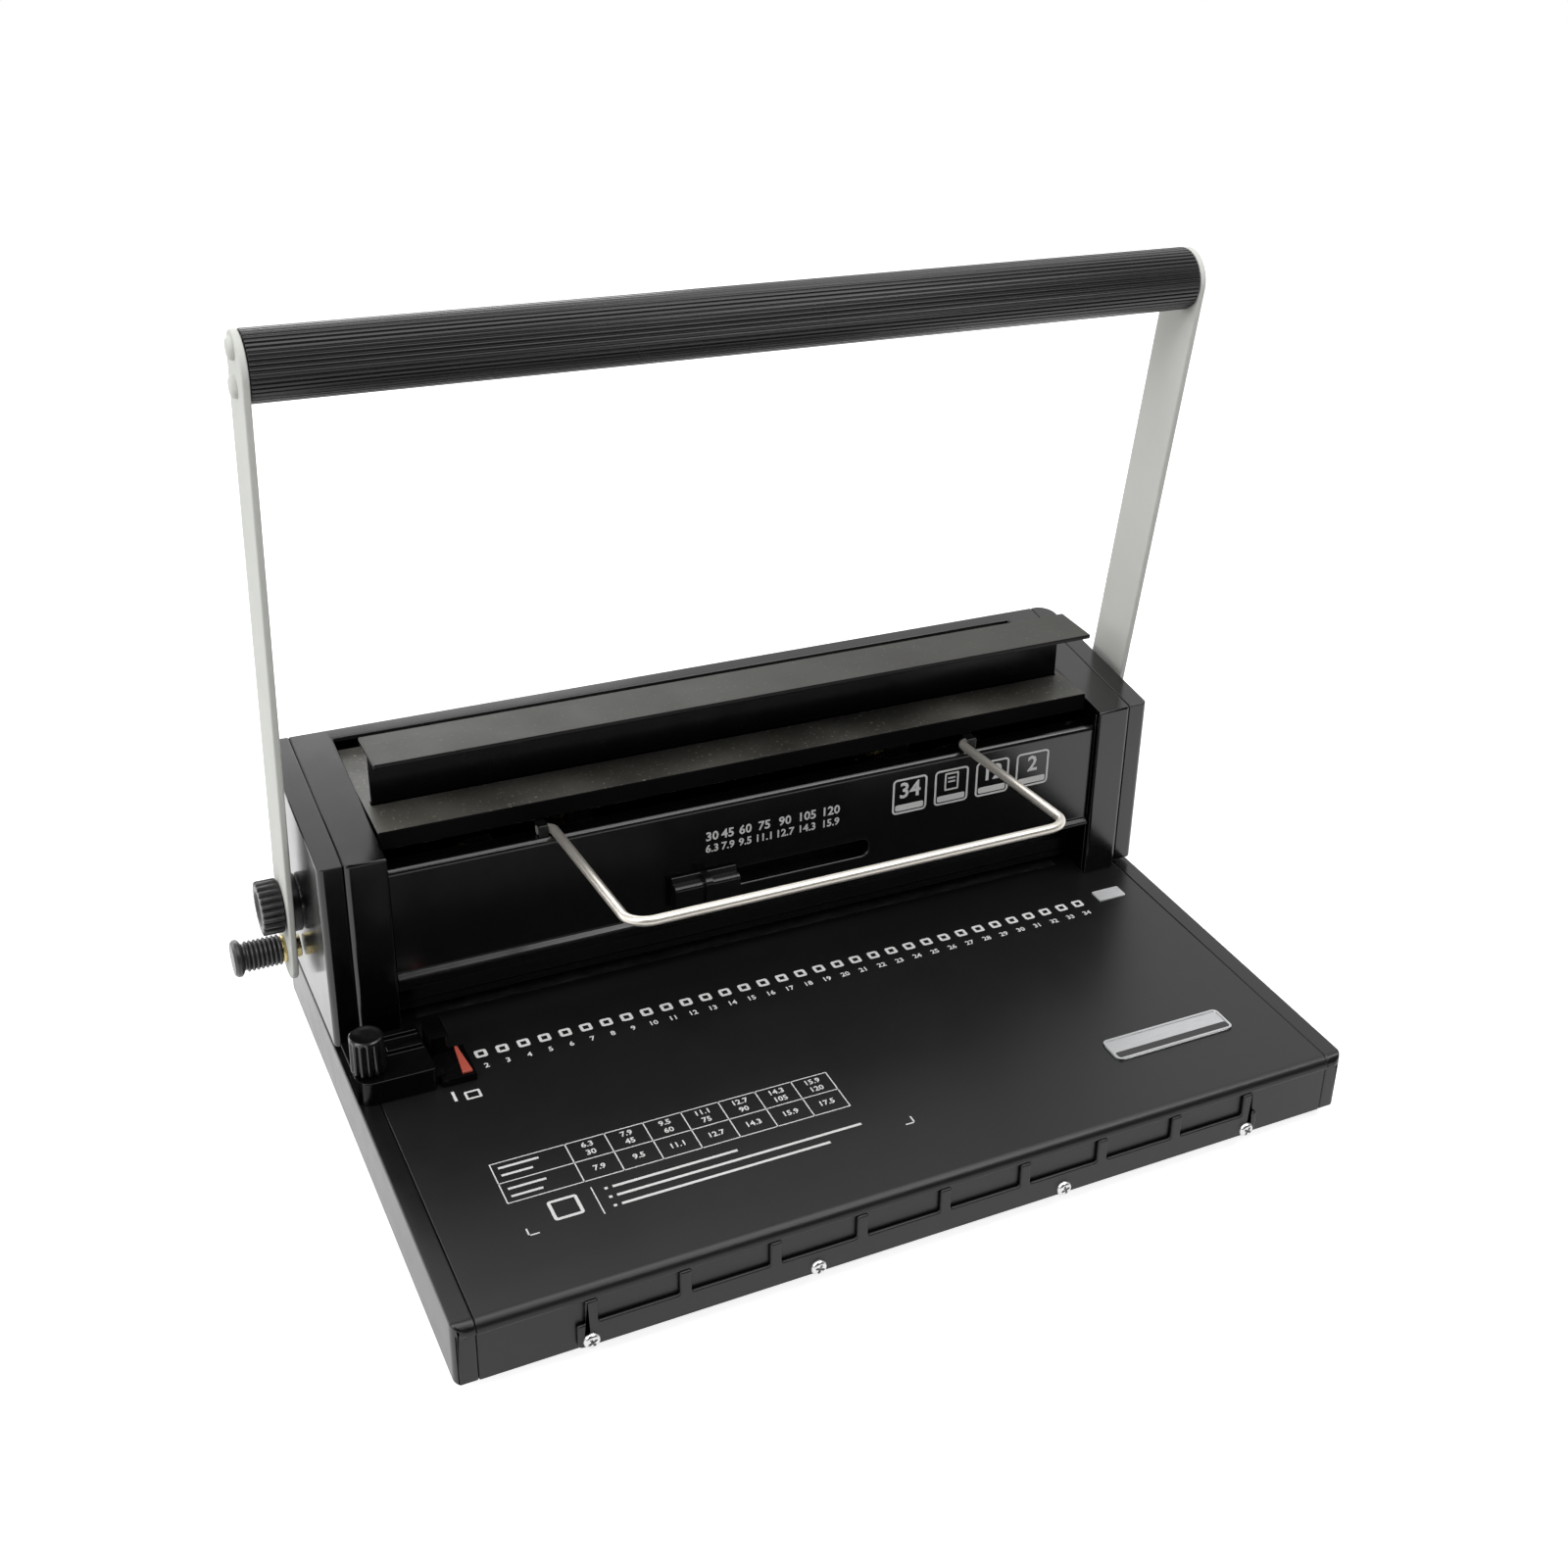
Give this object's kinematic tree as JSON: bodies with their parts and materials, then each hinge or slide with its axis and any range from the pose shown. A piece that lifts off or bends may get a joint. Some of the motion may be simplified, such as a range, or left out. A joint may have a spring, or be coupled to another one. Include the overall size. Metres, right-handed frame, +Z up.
{
  "type": "wire binding machine",
  "caption": "Hand-lever desk machine that punches square holes along a sheet's edge and squeezes wire combs shut, on a wide flat base with a chip tray.",
  "frame": {"origin": "on the table, under the middle of the machine's box", "axes": "+X to the operator's right along the hole row, +Y to the back, +Z up"},
  "size_m": [0.4168, 0.2574, 0.3149],
  "materials": {
    "black_coat": "satin black powder coat",
    "plate_steel": "plain ground steel",
    "bright_steel": "bright zinc plated",
    "brass": "plain turned",
    "nickel_wire": "satin nickel",
    "badge_metal": "satin",
    "arm_paint": "off-white enamel",
    "black_plastic": "moulded black",
    "grip_plastic": "fluted black",
    "red_plastic": "moulded red",
    "foot_rubber": "black"
  },
  "bodies": {
    "root": {"base_deck": "black_coat", "left_side_rail": "black_coat", "right_side_rail": "black_coat", "front_trim": "black_coat", "head_cover": "black_coat", "left_end_cap": "black_coat", "right_end_cap": "black_coat", "front_panel": "black_coat", "lower_jaw_plate": "black_coat", "left_side_frame": "black_coat", "right_side_frame": "black_coat", "punch_guide_plate": "black_coat", "bottom_plate": "plate_steel", "tray_runners": "plate_steel", "paper_stop_bar": "plate_steel", "die_plate": "plate_steel", "foot_screws": "bright_steel", "trim_screws": "bright_steel", "cover_screws": "bright_steel", "guide_rods": "bright_steel", "return_springs": "bright_steel", "shaft_bushes": "brass", "badge_plate": "badge_metal", "bail_saddles": "black_plastic", "guide_block": "black_plastic", "rubber_feet": "foot_rubber"},
    "handle": {"drive_shaft": "bright_steel", "punch_pinions": "brass", "jaw_pinions": "brass", "left_arm_collar": "black_coat", "right_arm_collar": "black_coat", "left_arm": "arm_paint", "right_arm": "arm_paint", "grip_core": "badge_metal", "grip_sleeve": "grip_plastic", "grip_screws": "arm_paint", "plunger_bushes": "brass"},
    "punch_beam": {"punch_bar": "plate_steel", "punch_pins": "bright_steel", "pin_clamp_plate": "plate_steel", "punch_racks": "plate_steel"},
    "jaw": {"upper_jaw": "black_coat", "jaw_racks": "plate_steel", "jaw_rack_screws": "bright_steel"},
    "bail": {"wire_bail": "nickel_wire"},
    "slider": {"size_slider": "black_plastic", "slider_clip": "black_plastic"},
    "edge_guide": {"guide_stop_bar": "black_plastic", "guide_pointer": "red_plastic"},
    "thumb_screw": {"thumb_knob": "black_plastic"},
    "left_knob": {"left_clamp_knob": "black_plastic"},
    "right_knob": {"right_clamp_knob": "black_plastic"},
    "left_pull": {"left_plunger": "black_plastic"},
    "right_pull": {"right_plunger": "black_plastic"},
    "tray": {"chip_tray": "black_plastic"}
  },
  "joints": [
    {"name": "lever_swing", "type": "hinge", "parent": "root", "child": "handle", "pos_m": [0, 0.0827, 0.0735], "axis": [1, 0, 0], "range_deg": [0, 75], "stiffness_Nm_per_rad": 1.5, "springref_deg": -28.65},
    {"name": "punch_slide", "type": "slide", "parent": "root", "child": "punch_beam", "axis": [0, 0, -1], "range_m": [0, 0.0118], "deforming": ["return_springs"]},
    {"name": "jaw_slide", "type": "slide", "parent": "root", "child": "jaw", "axis": [0, 0, -1], "range_m": [0, 0.0177]},
    {"name": "bail_swing", "type": "hinge", "parent": "root", "child": "bail", "pos_m": [0, 0.041, 0.1092], "axis": [-1, 0, 0], "range_deg": [0, 80]},
    {"name": "size_slide", "type": "slide", "parent": "root", "child": "slider", "axis": [1, 0, 0], "range_m": [0, 0.071]},
    {"name": "guide_slide", "type": "slide", "parent": "root", "child": "edge_guide", "axis": [1, 0, 0], "range_m": [-0.0015, 0.004]},
    {"name": "thumb_turn", "type": "hinge", "parent": "root", "child": "thumb_screw", "pos_m": [-0.175, 0.0065, 0.042], "axis": [0, 0, 1], "range_deg": [-180, 180]},
    {"name": "left_knob_turn", "type": "hinge", "parent": "handle", "child": "left_knob", "pos_m": [0, 0.0827, 0.0735], "axis": [-1, 0, 0], "range_deg": [-180, 180]},
    {"name": "right_knob_turn", "type": "hinge", "parent": "handle", "child": "right_knob", "pos_m": [0, 0.0827, 0.0735], "axis": [1, 0, 0], "range_deg": [-180, 180]},
    {"name": "left_pull_out", "type": "slide", "parent": "handle", "child": "left_pull", "axis": [-1, 0, 0], "range_m": [0, 0.006], "stiffness_N_per_m": 500, "springref_m": -0.004},
    {"name": "right_pull_out", "type": "slide", "parent": "handle", "child": "right_pull", "axis": [1, 0, 0], "range_m": [0, 0.006], "stiffness_N_per_m": 500, "springref_m": -0.004},
    {"name": "tray_slide", "type": "slide", "parent": "root", "child": "tray", "axis": [0, 1, 0], "range_m": [0, 0.075]}
  ],
  "couplings": [
    {"joint": "punch_slide", "follows": "lever_swing", "m_per_rad": 0.009},
    {"joint": "jaw_slide", "follows": "lever_swing", "m_per_rad": 0.0135}
  ]
}
